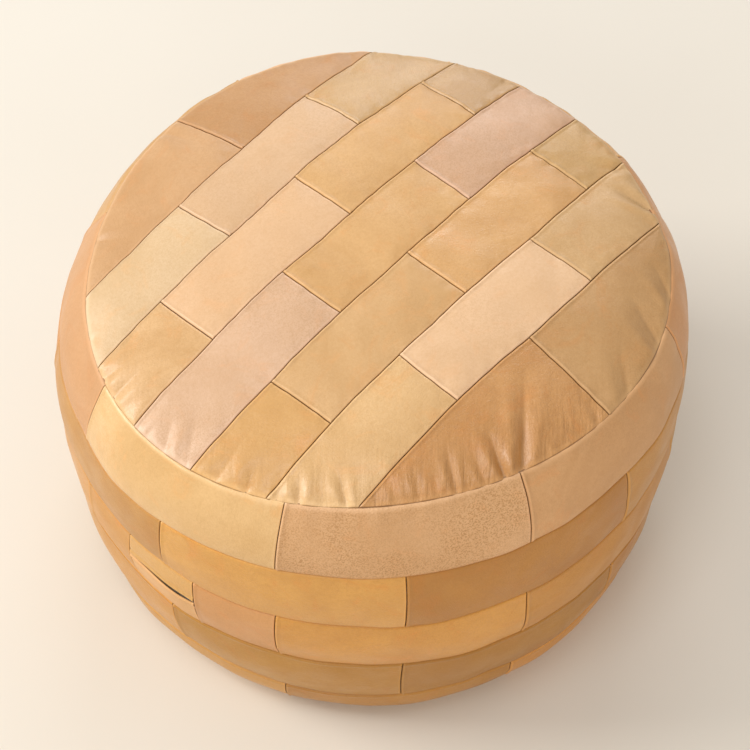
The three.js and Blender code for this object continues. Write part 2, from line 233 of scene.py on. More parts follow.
def fold_depths(x, y):
    """Height of the folds and puckers on the lid: valleys with a soft ridge on each side."""
    total = np.zeros_like(x)
    for azimuth, length, direction, depth, width in FOLDS + small_puckers():
        a, d = math.radians(azimuth), math.radians(direction)
        dx = x - (LID_RADIUS + 0.004) * math.cos(a)
        dy = y - (LID_RADIUS + 0.004) * math.sin(a)
        along = dx * math.cos(d) + dy * math.sin(d)
        share = np.clip(1 - along / length, 0, 1)
        strength = np.where(along > -0.02, share ** 1.3 * (2.3 - 1.3 * share), 0)
        spread = width * (0.75 + 0.6 * np.clip(along / length, 0, 1))
        side = (-dx * math.sin(d) + dy * math.cos(d)) / spread
        profile = -0.75 * np.exp(-side ** 2) + 0.6 * np.exp(-(np.abs(side) - 1.8) ** 2 / 0.8)
        crease = -0.45 * np.exp(-(side / 0.30) ** 2)
        total += depth * strength * (profile + crease)
    return total


def rolled(distance, radius, depth):
    """How far leather drops as it rolls over into a seam."""
    share = np.clip(distance / radius, 0, 1)
    return -depth * (1 - np.sqrt(1 - (1 - share) ** 2))


def ridge(distance, height):
    """A low ridge beside a seam, where the turned-in edges lie under the leather."""
    return height * np.exp(-((distance - RIDGE_PLACE) / RIDGE_WIDTH) ** 2)


def skin(points, normal, height):
    """Lifts points by a height and the cover's broad unevenness, then lets them settle."""
    height = height + BROAD * ripples(points, 0.15, 11) + 0.0003 * ripples(points, 0.055, 12)
    return settle(points + normal * height[..., None])


def unit(vectors):
    """Vectors brought to length one."""
    return vectors / np.linalg.norm(vectors, axis=-1, keepdims=True)


def lid_place(r):
    """Height and outward slope of the plain lid at a radius."""
    share = np.clip(r / LID_RADIUS, 0, 1)
    z = LID_HEIGHT + CROWN_RISE * (1 - share ** CROWN_POWER)
    return z, CROWN_RISE * CROWN_POWER * share ** (CROWN_POWER - 1) / LID_RADIUS


def wall_place(course, t):
    """Radius, height and outward direction of a plain puffed course, at a share down it."""
    top, foot = SEAMS[course], SEAMS[course + 1]
    width = np.linalg.norm(foot - top)
    along = (foot - top) / width
    out = np.array([-along[1], along[0]])
    bulge = 4 * WALL_PUFF[course] * t * (1 - t)
    slope = 4 * WALL_PUFF[course] * (1 - 2 * t) / width
    r = top[0] + (foot - top)[0] * t + out[0] * bulge
    z = top[1] + (foot - top)[1] * t + out[1] * bulge
    return r, z, out[0] - along[0] * slope, out[1] - along[1] * slope


def lid_surface(u, n, edge, rim, lift):
    """Points and normals of the lid at places along and across the strips."""
    x = u * math.cos(STRIP_ANGLE) - n * math.sin(STRIP_ANGLE)
    y = u * math.sin(STRIP_ANGLE) + n * math.cos(STRIP_ANGLE)
    r = np.hypot(x, y)
    z, slope = lid_place(r)
    flat = np.maximum(r, 1e-6)
    normal = unit(np.stack([slope * x / flat, slope * y / flat, np.ones_like(x)], -1))
    points = np.stack([x, y, z], -1)
    height = LID_PUFF * (1 - np.exp(-edge / 0.014)) + lift
    height += np.minimum(rolled(edge, LID_ROLL, SEAM_DEPTH), rolled(rim, RIM_ROLL, RIM_DEPTH))
    height += fold_depths(x, y) * (1 - 0.93 * np.exp(-rim / 0.0028))
    height += 0.00022 * np.exp(-edge / 0.010) * ripples(points, 0.017, 13)
    return skin(points, normal, height), normal


def wall_surface(course, phi, t, edge, lift):
    """Points and normals of a wall course, t going from its upper seam to its lower one."""
    width = np.linalg.norm(SEAMS[course + 1] - SEAMS[course])
    r, z, nr, nz = wall_place(course, t)
    normal = unit(np.stack([nr * np.cos(phi), nr * np.sin(phi), nz], -1))
    points = np.stack([r * np.cos(phi), r * np.sin(phi), z], -1)
    upper, lower = t * width, (1 - t) * width
    height = rolled(upper, UPPER_ROLL[course], UPPER_DEPTH[course])
    height = height + rolled(lower, LOWER_ROLL, SEAM_DEPTH)
    height = np.minimum(height, rolled(edge, LID_ROLL, SEAM_DEPTH))
    height += ridge(upper, UPPER_RIDGE[course]) + lift
    if course > 0:
        height -= TUCK * np.clip(1 - upper / 0.0012, 0, 1)
    else:
        height -= BACK_TUCK * np.clip(np.sin(phi), 0, 1) * np.clip(1 - upper / 0.006, 0, 1)
    height += 0.00015 * np.exp(-edge / 0.012) * ripples(points, 0.024, 23)
    if course == 0:
        # Upright puckers under the top seam.
        around = np.stack([np.cos(phi), np.sin(phi), np.zeros_like(phi)], -1) * LID_RADIUS
        height += 0.0005 * (np.exp(-upper / 0.016) - np.exp(-upper / 0.003)) * ripples(around, 0.022, 24)
    points = skin(points, normal, height)
    points[..., 2] = np.maximum(points[..., 2], 0.0004)
    return points, normal


# ---- Meshes ----
def graded(length, step):
    """Places along a length: close together at both ends and a step apart between them."""
    ends = [e for e in EDGE_STEPS if e < length / 3]
    first = ends[-1] if ends else 0
    count = max(2, round((length - 2 * first) / step) + 1)
    middle = np.linspace(first, length - first, count)
    return np.array([0, *ends[:-1], *middle, *[length - e for e in reversed(ends[:-1])], length])


def grid_object(name, points, normals, marks):
    """A mesh from a grid of points, with a skirt turned in all round. marks are its attributes."""
    padded = np.pad(points, ((1, 1), (1, 1), (0, 0)), mode="edge")
    inward = np.pad(normals, ((1, 1), (1, 1), (0, 0)), mode="edge")
    shape = points.shape[:2]
    marks = {key: np.pad(np.broadcast_to(mark, shape), 1, mode="edge") for key, mark in marks.items()}
    border = np.zeros(padded.shape[:2], bool)
    border[[0, -1], :] = True
    border[:, [0, -1]] = True
    padded[border] -= inward[border] * SKIRT
    rows, columns = padded.shape[:2]
    index = np.arange(rows * columns).reshape(rows, columns)
    quads = np.stack([index[:-1, :-1], index[1:, :-1], index[1:, 1:], index[:-1, 1:]], -1)
    return mesh_object(name, padded.reshape(-1, 3), quads.reshape(-1, 4), marks)


def mesh_object(name, vertices, faces, marks=None):
    """A smooth mesh object. marks are floating-point attributes for its material."""
    mesh = bpy.data.meshes.new(name)
    mesh.from_pydata(vertices.tolist(), [], faces.tolist())
    mesh.update()
    mesh.shade_smooth()
    for key, mark in (marks or {}).items():
        attribute = mesh.attributes.new(key, "FLOAT", "POINT")
        attribute.data.foreach_set("value", mark.ravel().astype(np.float32))
    piece = bpy.data.objects.new(name, mesh)
    bpy.context.scene.collection.objects.link(piece)
    return piece


def strain(points, rim):
    """How hard the leather is drawn into fine creases: most by the front rim."""
    front = np.clip(0.75 - (points[..., 1] + 0.05) / LID_RADIUS, 0.25, 1)
    return front * np.exp(-(rim / STRAIN_REACH) ** 1.5)


def wobble(seed, along, size, wavelength):
    """A sewn line's small wander, the same for the patches on both its sides."""
    phases = np.random.default_rng(seed).uniform(0, 2 * np.pi, 2)
    turns = 2 * np.pi * along / wavelength
    return size * (np.sin(turns + phases[0]) + 0.5 * np.sin(2.7 * turns + phases[1])) / 1.5


def seam_line(k, u):
    """Where the long seam after strip k runs, across the strips."""
    return (2.5 - k) * STRIP_PITCH + STRIP_OFFSET + wobble(40 + k, u, 0.0007, 0.19)


# The last strip's joint runs aslant.
JOINT_SLANT = {6: 0.008}


def joint_line(strip, k, joint, across):
    """Where a short joint runs, along its strip. across goes from 0 to 1 over the strip."""
    bow, lean = np.random.default_rng(60 + 5 * strip + k).uniform(-1, 1, 2)
    slant = 0.0011 * lean + JOINT_SLANT.get(strip, 0.0)
    return joint + 0.0013 * bow * (1 - (2 * across - 1) ** 2) + slant * (across - 0.5)


def lid_patch(name, strip, k, low_joint, high_joint):
    """One patch of a lid strip, between two joints or a joint and the rim (None)."""
    last = len(LID_SHADES) - 1
    radius = LID_RADIUS - GAP
    straight = [(2.5 - line) * STRIP_PITCH + STRIP_OFFSET for line in (strip, strip - 1)]
    rim_side = -1 if strip == last else 1 if strip == 0 else 0
    seam = straight[0] if rim_side >= 0 else straight[1]
    reach = math.sqrt(radius ** 2 - seam ** 2) - 0.0006
    width = 0.090 if rim_side else STRIP_PITCH
    b = graded(width, LID_STEP) / width
    flat_low = -reach if low_joint is None else low_joint
    flat_high = reach if high_joint is None else high_joint
    length = flat_high - flat_low
    a = (graded(length, LID_STEP) / length)[:, None]
    b = b[None]
    u = flat_low + a * length + 0 * b
    n = straight[0] + b * STRIP_PITCH + 0 * a
    for _ in range(4):
        fade = np.clip((radius - np.hypot(u, n)) / 0.03, 0, 1)
        if rim_side:
            arc = rim_side * np.sqrt(radius ** 2 - u ** 2)
            line = seam + (seam_line(strip if rim_side > 0 else strip - 1, u) - seam) * fade
            lines = (line + GAP, arc) if rim_side > 0 else (arc, line - GAP)
            ends = (-reach, reach)
        else:
            lines = (straight[0] + (seam_line(strip, u) - straight[0]) * fade + GAP,
                     straight[1] + (seam_line(strip - 1, u) - straight[1]) * fade - GAP)
            half = np.sqrt(radius ** 2 - n ** 2)
            ends = (-half, half)
        low = ends[0] if low_joint is None else joint_line(strip, k - 1, low_joint, b) + GAP
        high = ends[1] if high_joint is None else joint_line(strip, k, high_joint, b) - GAP
        n = lines[0] + b * (lines[1] - lines[0])
        u = low + a * (high - low)
    rim = np.maximum(radius - np.hypot(u, n), 0)
    sides, lift = [rim], 0
    if low_joint is not None:
        sides.append(u - low)
        lift = lift + ridge(u - low, RIDGE)
    if high_joint is not None:
        sides.append(high - u)
    if rim_side <= 0:
        sides.append(lines[1] - n)
        lift = lift + ridge(lines[1] - n, RIDGE)
    if rim_side >= 0:
        sides.append(n - lines[0])
    edge = np.maximum(np.min(sides, axis=0), 0)
    points, normals = lid_surface(u, n, edge, rim, lift)
    shown = np.minimum(edge, rim * RIM_LINE)
    return grid_object(name, points, normals, {"edge": shown, "crest": FAR, "strain": strain(points, rim)})


def upright(course, azimuth, t):
    """Where an upright joint runs round a course, bowed a little."""
    seed = round(math.degrees(azimuth) * 2) % 720 + 1000 * course
    bow, lean = np.random.default_rng(seed).uniform(-1, 1, 2)
    return azimuth + (0.0014 * bow * 4 * t * (1 - t) + 0.0016 * lean * (t - 0.5)) / LID_RADIUS


def wall_grid(course, start, end, low=1.0, high=0.0, rise=0.0):
    """Azimuths, shares down the course, and distances to the four sides, in a grid. low and high
    are the shares where it ends, and rise is how much shorter it is at its right end."""
    top, foot = SEAMS[course], SEAMS[course + 1]
    width = np.linalg.norm(foot - top)
    radius = (top[0] + foot[0]) / 2
    arc = (end - start) * radius
    a = (graded(arc, WALL_STEP) / arc)[:, None]
    low, high = low - rise * a, high + 0 * a
    tall = float((low - high).max()) * width
    b = (graded(tall, WALL_STEP) / tall)[None]
    t = low + TUCK / width + b * (high - low - 2 * TUCK / width)
    left = upright(course, start, t) + GAP / radius
    right = upright(course, end, t) - GAP / radius
    phi = left + a * (right - left)
    sides = [(phi - left) * radius, (right - phi) * radius]
    sides += [(t[:, :1] - t) * width, (t - t[:, -1:]) * width]
    return phi, t, [np.maximum(side, 0) for side in sides]


def wall_patch(name, course, start, end):
    """One sewn patch of a wall course between two azimuths."""
    phi, t, (left, right, below, above) = wall_grid(course, start, end)
    edge = np.minimum(left, right)
    points, normals = wall_surface(course, phi, t, edge, ridge(left, RIDGE))
    shown = np.minimum(edge, np.minimum(below, above) + LEVEL_SEAM_FADE)
    if course == 0:
        shown = np.minimum(shown, above * RIM_LINE)
    crest = above if course >= CRESTED else FAR
    return grid_object(name, points, normals, {"edge": shown, "crest": crest, "strain": 0.0})


def closed_sheet(name, outer, inner, edge):
    """A thin closed piece between two grids of the same shape."""
    rows, columns = outer.shape[:2]
    index = np.arange(rows * columns).reshape(rows, columns)
    under = index + rows * columns
    top = np.stack([index[:-1, :-1], index[1:, :-1], index[1:, 1:], index[:-1, 1:]], -1)
    foot = np.stack([under[:-1, :-1], under[:-1, 1:], under[1:, 1:], under[1:, :-1]], -1)
    quads = [top.reshape(-1, 4), foot.reshape(-1, 4)]
    loop = [*index[:, 0], *index[-1, 1:], *index[-2::-1, -1], *index[0, -2:0:-1]]
    turn = np.roll(loop, -1)
    quads.append(np.stack([loop, np.array(loop) + rows * columns, turn + rows * columns, turn], -1))
    vertices = np.concatenate([outer.reshape(-1, 3), inner.reshape(-1, 3)])
    doubled = np.concatenate([edge.ravel(), edge.ravel()])
    marks = {"edge": doubled, "crest": doubled * 0 + FAR, "strain": doubled * 0}
    return mesh_object(name, vertices, np.concatenate(quads), marks)


def lip_piece(name, start, end, low, high, free, rise=0.0):
    """Part of the placket with a rolled free edge, at its lower (-1) or upper (1) side."""
    phi, t, (left, right, below, above) = wall_grid(2, start, end, low, high, rise)
    to_free = below if free < 0 else above
    sides = np.minimum(left, right)
    bead = 0.0009 * np.exp(-((to_free - 0.0030) / 0.0022) ** 2)
    groove = -0.0006 * np.exp(-((to_free - 0.0068) / 0.0011) ** 2)
    share = left / (left + right)
    stand = LIP_STAND[free] * np.clip(1 - to_free / LIP_REACH, 0, 1) ** 2
    stand = stand * share ** 0.6 * (1 - share ** 7)
    outer, normals = wall_surface(2, phi, t, np.full_like(phi, 1.0), bead + groove + stand)
    near = np.minimum(np.minimum(sides, to_free) / (LIP_THICKNESS / 2), 1)
    rounding = LIP_THICKNESS / 2 * (1 - np.sqrt(1 - (1 - near) ** 2))[..., None]
    inner = outer - normals * (LIP_THICKNESS - rounding)
    outer = outer - normals * rounding
    shown = np.minimum(sides, to_free + LEVEL_SEAM_FADE)
    return closed_sheet(name, outer, inner, shown)


# ---- Padding inside the cover ----
def layer_profile(depth, bottom):
    """The cover's outline pushed in by a depth, from the middle of the lid down to a height: rows
    of radius, height and outward direction."""
    rows = []
    for r in np.linspace(0, LID_RADIUS - 0.7 * depth, 36):
        z, slope = lid_place(r)
        nr, nz = np.array([slope, 1]) / math.hypot(slope, 1)
        rows.append((r - nr * depth, z - nz * depth, nr, nz))
    z, slope = lid_place(LID_RADIUS)
    a = np.array([slope, 1]) / math.hypot(slope, 1)
    b = np.array(wall_place(0, 0.0)[2:])
    b /= np.linalg.norm(b)
    miter = (a + b) / (1 + a @ b)
    rows.append((LID_RADIUS - miter[0] * depth, z - miter[1] * depth, *(a + b) / np.linalg.norm(a + b)))
    for course in range(len(SEAMS) - 1):
        width = np.linalg.norm(SEAMS[course + 1] - SEAMS[course])
        first = 0.7 * depth / width if course == 0 else 0
        for t in np.linspace(first, 1, 14, endpoint=course == len(SEAMS) - 2):
            r, z, nr, nz = wall_place(course, t)
            size = math.hypot(nr, nz)
            rows.append((r - nr / size * depth, z - nz / size * depth, nr / size, nz / size))
    rows = np.array(rows)
    keep = rows[rows[:, 1] > bottom + 0.001]
    foot = keep[-1].copy()
    foot[1] = bottom
    return np.vstack([keep, foot])


def layer_surface(depth, bottom, azimuths, folds, lumps, seed):
    """A grid of points over a layer: rows by azimuth."""
    rows = layer_profile(depth, bottom)[:, None, :]
    phi = azimuths[None]
    r, z, nr, nz = (rows[..., k] + 0 * phi for k in range(4))
    normal = np.stack([nr * np.cos(phi), nr * np.sin(phi), nz], -1)
    points = np.stack([r * np.cos(phi), r * np.sin(phi), z], -1)
    over = np.clip((z - LID_HEIGHT + depth + 0.004) / 0.008, 0, 1)
    lift = np.minimum(fold_depths(points[..., 0], points[..., 1]), 0) * over * folds
    lift -= lumps * np.abs(ripples(points, 0.04, seed))
    moved = skin(points, normal, lift)
    moved[..., 2] = np.maximum(moved[..., 2], bottom)
    moved[-1, :, 2] = bottom
    return moved


def turned_object(name, surfaces, closed_ends, hole=None):
    """A piece of revolution from grids of points. Each grid closes round; hole is a function that
    says which quads of the wall are cut out."""
    piece_mesh = bmesh.new()
    for points, outward in surfaces:
        rows, columns = points.shape[:2]
        made = [[piece_mesh.verts.new(points[i, j]) for j in range(columns)] for i in range(rows)]
        for i in range(rows - 1):
            for j in range(columns):
                k = (j + 1) % columns
                corners = [made[i][j], made[i + 1][j], made[i + 1][k], made[i][k]]
                centre = sum((v.co for v in corners), Vector()) / 4
                if hole is not None and hole(centre):
                    continue
                piece_mesh.faces.new(corners if outward else corners[::-1])
    bmesh.ops.remove_doubles(piece_mesh, verts=piece_mesh.verts, dist=1e-6)
    if closed_ends:
        open_edges = [e for e in piece_mesh.edges if e.is_boundary]
        rims = [e for e in open_edges if max(v.co.z for v in e.verts) < closed_ends]
        bmesh.ops.bridge_loops(piece_mesh, edges=rims)
    cut = [e for e in piece_mesh.edges if e.is_boundary]
    if cut:
        bmesh.ops.bridge_loops(piece_mesh, edges=cut)
    bmesh.ops.recalc_face_normals(piece_mesh, faces=piece_mesh.faces)
    mesh = bpy.data.meshes.new(name)
    piece_mesh.to_mesh(mesh)
    piece_mesh.free()
    mesh.shade_smooth()
    piece = bpy.data.objects.new(name, mesh)
    bpy.context.scene.collection.objects.link(piece)
    return piece


# ---- Materials ----
def srgb(code):
    """A six-digit colour as linear numbers."""
    channels = [int(code[k:k + 2], 16) / 255 for k in (0, 2, 4)]
    return [c / 12.92 if c <= 0.04045 else ((c + 0.055) / 1.055) ** 2.4 for c in channels]


def blank_material(name):
    """A new material, with its node tree's nodes and links and its main shader."""
    material = bpy.data.materials.new(name)
    material.use_nodes = True
    nodes, links = material.node_tree.nodes, material.node_tree.links
    return material, nodes, links, nodes["Principled BSDF"]


def noise(nodes, links, coordinates, scale, detail=3.0, distortion=0.0, roughness=0.5):
    node = nodes.new("ShaderNodeTexNoise")
    node.inputs["Scale"].default_value = scale
    node.inputs["Detail"].default_value = detail
    node.inputs["Roughness"].default_value = roughness
    node.inputs["Distortion"].default_value = distortion
    links.new(coordinates, node.inputs["Vector"])
    return node.outputs["Fac"]


def mixed(nodes, links, factor, first, second, kind="MIX"):
    """A colour mix: first and second are sockets or colours."""
    node = nodes.new("ShaderNodeMix")
    node.data_type = "RGBA"
    node.blend_type = kind
    for value, socket in ((first, node.inputs["A"]), (second, node.inputs["B"])):
        if isinstance(value, bpy.types.NodeSocket):
            links.new(value, socket)
        else:
            socket.default_value = (*value, 1)
    if isinstance(factor, bpy.types.NodeSocket):
        links.new(factor, node.inputs["Factor"])
    else:
        node.inputs["Factor"].default_value = factor
    return node.outputs["Result"]


def ranged(nodes, links, value, low, high, to_low=0.0, to_high=1.0):
    node = nodes.new("ShaderNodeMapRange")
    node.interpolation_type = "SMOOTHSTEP"
    for key, number in (("From Min", low), ("From Max", high), ("To Min", to_low), ("To Max", to_high)):
        node.inputs[key].default_value = number
    links.new(value, node.inputs["Value"])
    return node.outputs["Result"]


def bumped(nodes, links, height, distance, strength, before=None):
    node = nodes.new("ShaderNodeBump")
    node.inputs["Distance"].default_value = distance
    node.inputs["Strength"].default_value = strength
    links.new(height, node.inputs["Height"])
    if before is not None:
        links.new(before, node.inputs["Normal"])
    return node.outputs["Normal"]


def product(nodes, links, first, second):
    node = nodes.new("ShaderNodeMath")
    node.operation = "MULTIPLY"
    links.new(first, node.inputs[0])
    links.new(second, node.inputs[1])
    return node.outputs["Value"]


def streak_noise(nodes, links, rng):
    """Fine creases that run roughly front to back, as the drawn-in leather has."""
    place = nodes.new("ShaderNodeTexCoord").outputs["Object"]
    stretch = nodes.new("ShaderNodeMapping")
    stretch.inputs["Location"].default_value = rng.uniform(-5, 5, 3)
    stretch.inputs["Rotation"].default_value = (0, 0, rng.uniform(-0.15, 0.15))
    stretch.inputs["Scale"].default_value = (1, 0.10, 0.3)
    links.new(place, stretch.inputs["Vector"])
    return noise(nodes, links, stretch.outputs["Vector"], 230, 4, 0.5, 0.6)


def scaled(colour, by):
    """A colour made lighter or darker."""
    return [min(1.0, c * by) for c in colour]


def leather(name, colour, seed, gloss=0.5, pebble=0.3, blotch=0.5, crease=0.3):
    """Soft dyed leather: cloudy colour, pores, fine grain and faint creases, with a painted highlight
    beside each seam, painted shade and dirt in the seams, and painted highlights and shade on the fine
    creases where it is drawn in.
    """
    material, nodes, links, shader = blank_material(name)
    rng = np.random.default_rng(seed)
    place = nodes.new("ShaderNodeTexCoord").outputs["Object"]
    mapping = nodes.new("ShaderNodeMapping")
    mapping.inputs["Location"].default_value = rng.uniform(-5, 5, 3)
    mapping.inputs["Rotation"].default_value = rng.uniform(0, 3, 3)
    links.new(place, mapping.inputs["Vector"])
    place = mapping.outputs["Vector"]
    dark = [colour[0] * 0.80, colour[1] * 0.72, colour[2] * 0.58]
    light = [min(1, colour[0] * 1.10), min(1, colour[1] * 1.14), min(1, colour[2] * 1.24)]
    warm = [min(1, colour[0] * 1.06), colour[1] * 0.86, colour[2] * 0.66]
    pore = [colour[0] * 0.66, colour[1] * 0.56, colour[2] * 0.38]
    # Dark colour for the seams: painted shade in the seam's gap, together with dirt.
    seam_shade_and_dirt_colour = [colour[0] * 0.34, colour[1] * 0.26, colour[2] * 0.16]
    cloud = ranged(nodes, links, noise(nodes, links, place, 9, 5, 0.8, 0.6), 0.30, 0.70)
    tone = mixed(nodes, links, cloud, dark, light)
    tone = mixed(nodes, links, 0.75 * blotch, colour, tone)
    flush = noise(nodes, links, place, 21, 6, 1.6, 0.65)
    flush = ranged(nodes, links, flush, 0.50, 0.72, 0, 0.85 * blotch)
    tone = mixed(nodes, links, flush, tone, warm)
    stain = noise(nodes, links, place, 60, 6, 1.2, 0.7)
    stain = ranged(nodes, links, stain, 0.53, 0.75, 0, 0.55 * blotch)
    tone = mixed(nodes, links, stain, tone, dark)
    fine = ranged(nodes, links, noise(nodes, links, place, 330, 4, 0.3, 0.7), 0.35, 0.68, 0, 0.30)
    tone = mixed(nodes, links, fine, tone, scaled(dark, 1.02))
    grit = noise(nodes, links, place, 680, 2, 0.2)
    patchy = ranged(nodes, links, noise(nodes, links, place, 12, 2), 0.36, 0.62, 0.25, 1.0)
    pores = ranged(nodes, links, grit, 0.46, 0.62, 0, 0.10 + 0.75 * pebble)
    tone = mixed(nodes, links, product(nodes, links, pores, patchy), tone, pore)
    edge = nodes.new("ShaderNodeAttribute")
    edge.attribute_name = "edge"
    # Painted highlight: the leather is drawn paler beside each seam, where its ridge catches the light.
    seam_highlight = ranged(nodes, links, edge.outputs["Fac"], 0.0010, 0.0030, 0.50, 0.0)
    tone = mixed(nodes, links, seam_highlight, tone, scaled(light, 1.10))
    crest = nodes.new("ShaderNodeAttribute")
    crest.attribute_name = "crest"
    # Painted highlight: a pale line along the upper seams of the lower courses.
    line = ranged(nodes, links, crest.outputs["Fac"], 0.0012, 0.0030, 0.22, 0.0)
    tone = mixed(nodes, links, line, tone, scaled(light, 1.15))
    drawn = nodes.new("ShaderNodeAttribute")
    drawn.attribute_name = "strain"
    streaks = streak_noise(nodes, links, rng)
    # Painted highlight on the ridges of the fine creases, where the leather is drawn in.
    crease_highlight = ranged(nodes, links, streaks, 0.54, 0.66, 0, 0.42 * crease ** 2)
    crease_highlight = product(nodes, links, crease_highlight, drawn.outputs["Fac"])
    tone = mixed(nodes, links, crease_highlight, tone, scaled(light, 1.15))
    # Painted shade in the valleys of the fine creases.
    crease_shade = ranged(nodes, links, streaks, 0.46, 0.34, 0, 0.55 * crease ** 2)
    crease_shade = product(nodes, links, crease_shade, drawn.outputs["Fac"])
    tone = mixed(nodes, links, crease_shade, tone, scaled(dark, 0.75))
    # Painted shade and dirt: the leather turns dark right at the seam.
    seam_shade_and_dirt = ranged(nodes, links, edge.outputs["Fac"], 0.00005, 0.0006, 0.85, 0.0)
    tone = mixed(nodes, links, seam_shade_and_dirt, tone, seam_shade_and_dirt_colour)
    links.new(tone, shader.inputs["Base Color"])

    shine = noise(nodes, links, place, 28, 4, 0.8)
    rough = 0.60 - 0.27 * gloss
    links.new(ranged(nodes, links, shine, 0.3, 0.7, rough - 0.07, rough + 0.07), shader.inputs["Roughness"])
    shader.inputs["Specular IOR Level"].default_value = 0.45
    shader.inputs["Coat Weight"].default_value = 0.35 * gloss
    shader.inputs["Coat Roughness"].default_value = 0.27

    cells = nodes.new("ShaderNodeTexVoronoi")
    cells.feature = "SMOOTH_F1"
    cells.inputs["Scale"].default_value = 620
    cells.inputs["Smoothness"].default_value = 0.6
    links.new(place, cells.inputs["Vector"])
    normal = bumped(nodes, links, cells.outputs["Distance"], 0.00030, 0.20 + 0.8 * pebble)
    stretch = nodes.new("ShaderNodeMapping")
    stretch.inputs["Scale"].default_value = (1, 2.6, 1)
    links.new(place, stretch.inputs["Vector"])
    lines = noise(nodes, links, stretch.outputs["Vector"], 150, 5, 1.5, 0.6)
    normal = bumped(nodes, links, lines, 0.0012, 0.12 + 0.5 * crease, normal)
    pull = product(nodes, links, streaks, drawn.outputs["Fac"])
    normal = bumped(nodes, links, pull, 0.0024, 0.10 + 0.60 * crease ** 2, normal)
    soft = noise(nodes, links, place, 60, 2, 0.4)
    normal = bumped(nodes, links, soft, 0.0020, 0.16, normal)
    links.new(normal, shader.inputs["Normal"])
    return material


def cloth(name, colour, scale):
    """Plain woven cotton."""
    material, nodes, links, shader = blank_material(name)
    place = nodes.new("ShaderNodeTexCoord").outputs["Object"]
    weave = nodes.new("ShaderNodeTexWave")
    weave.inputs["Scale"].default_value = scale
    weave.inputs["Distortion"].default_value = 1.5
    links.new(place, weave.inputs["Vector"])
    fuzz = noise(nodes, links, place, scale * 1.7, 3)
    base = srgb(colour)
    tone = mixed(nodes, links, weave.outputs["Fac"], scaled(base, 0.82), base)
    links.new(mixed(nodes, links, fuzz, tone, scaled(base, 0.9)), shader.inputs["Base Color"])
    shader.inputs["Roughness"].default_value = 0.92
    normal = bumped(nodes, links, weave.outputs["Fac"], 0.0005, 0.5)
    links.new(bumped(nodes, links, fuzz, 0.0008, 0.4, normal), shader.inputs["Normal"])
    return material


def brass(name):
    """Worn brass with a little uneven colour."""
    material, nodes, links, shader = blank_material(name)
    place = nodes.new("ShaderNodeTexCoord").outputs["Object"]
    wear = noise(nodes, links, place, 400, 4, 1)
    tone = mixed(nodes, links, wear, srgb("8f6d3a"), srgb("c9a466"))
    links.new(tone, shader.inputs["Base Color"])
    links.new(ranged(nodes, links, wear, 0.3, 0.7, 0.28, 0.42), shader.inputs["Roughness"])
    shader.inputs["Metallic"].default_value = 1
    links.new(bumped(nodes, links, wear, 0.0001, 0.3), shader.inputs["Normal"])
    return material


# Leathers by shade: colour, gloss, pebble, blotch, crease.
SHADES = {
    "tan": ("d09c68", 0.45, 0.10, 0.50, 0.25),
    "cream": ("e8c090", 0.50, 0.08, 0.55, 0.20),
    "peach": ("e4bb90", 0.35, 0.10, 0.40, 0.15),
    "olive": ("cba26a", 0.85, 0.10, 0.65, 0.60),
    "gold": ("dcac6d", 0.85, 0.12, 0.75, 0.45),
    "honey": ("d8aa70", 0.45, 0.10, 0.60, 0.20),
    "mauve": ("daae8a", 0.55, 0.25, 0.55, 0.20),
    "khaki": ("c89f66", 0.55, 0.12, 0.60, 0.25),
    "amber": ("c79258", 0.95, 0.10, 0.70, 0.90),
    "umber": ("bc925e", 0.55, 0.12, 0.60, 0.30),
}
LID_SHADES = [
    ["tan", "tan"],
    ["cream", "peach", "olive"],
    ["gold", "peach", "honey", "olive"],
    ["mauve", "honey", "mauve"],
    ["gold", "honey", "gold", "khaki"],
    ["olive", "peach", "khaki"],
    ["amber", "umber"],
]
WALL_SHADES = [
    ["mauve", "honey", "tan", "gold", "peach", "khaki", "peach", "gold"],
    ["umber", "khaki", "gold", "honey", "khaki", "tan", "khaki", "gold"],
    ["gold", "honey", "khaki", "gold", "tan", "honey", "gold"],
    ["khaki", "umber", "khaki", "honey", "khaki", "umber", "gold", "khaki"],
    ["umber", "tan", "umber", "khaki", "tan", "umber", "khaki", "tan"],
]


# Painted warm light bounced off the floor: the wall's leathers are tinted browner than the lid's, more so
# lower down.
COURSE_BOUNCE_TINTS = (
    (1.02, 0.95, 0.88),
    (0.97, 0.78, 0.42),
    (0.92, 0.76, 0.41),
    (0.87, 0.70, 0.29),
    (0.99, 0.87, 0.48),
)
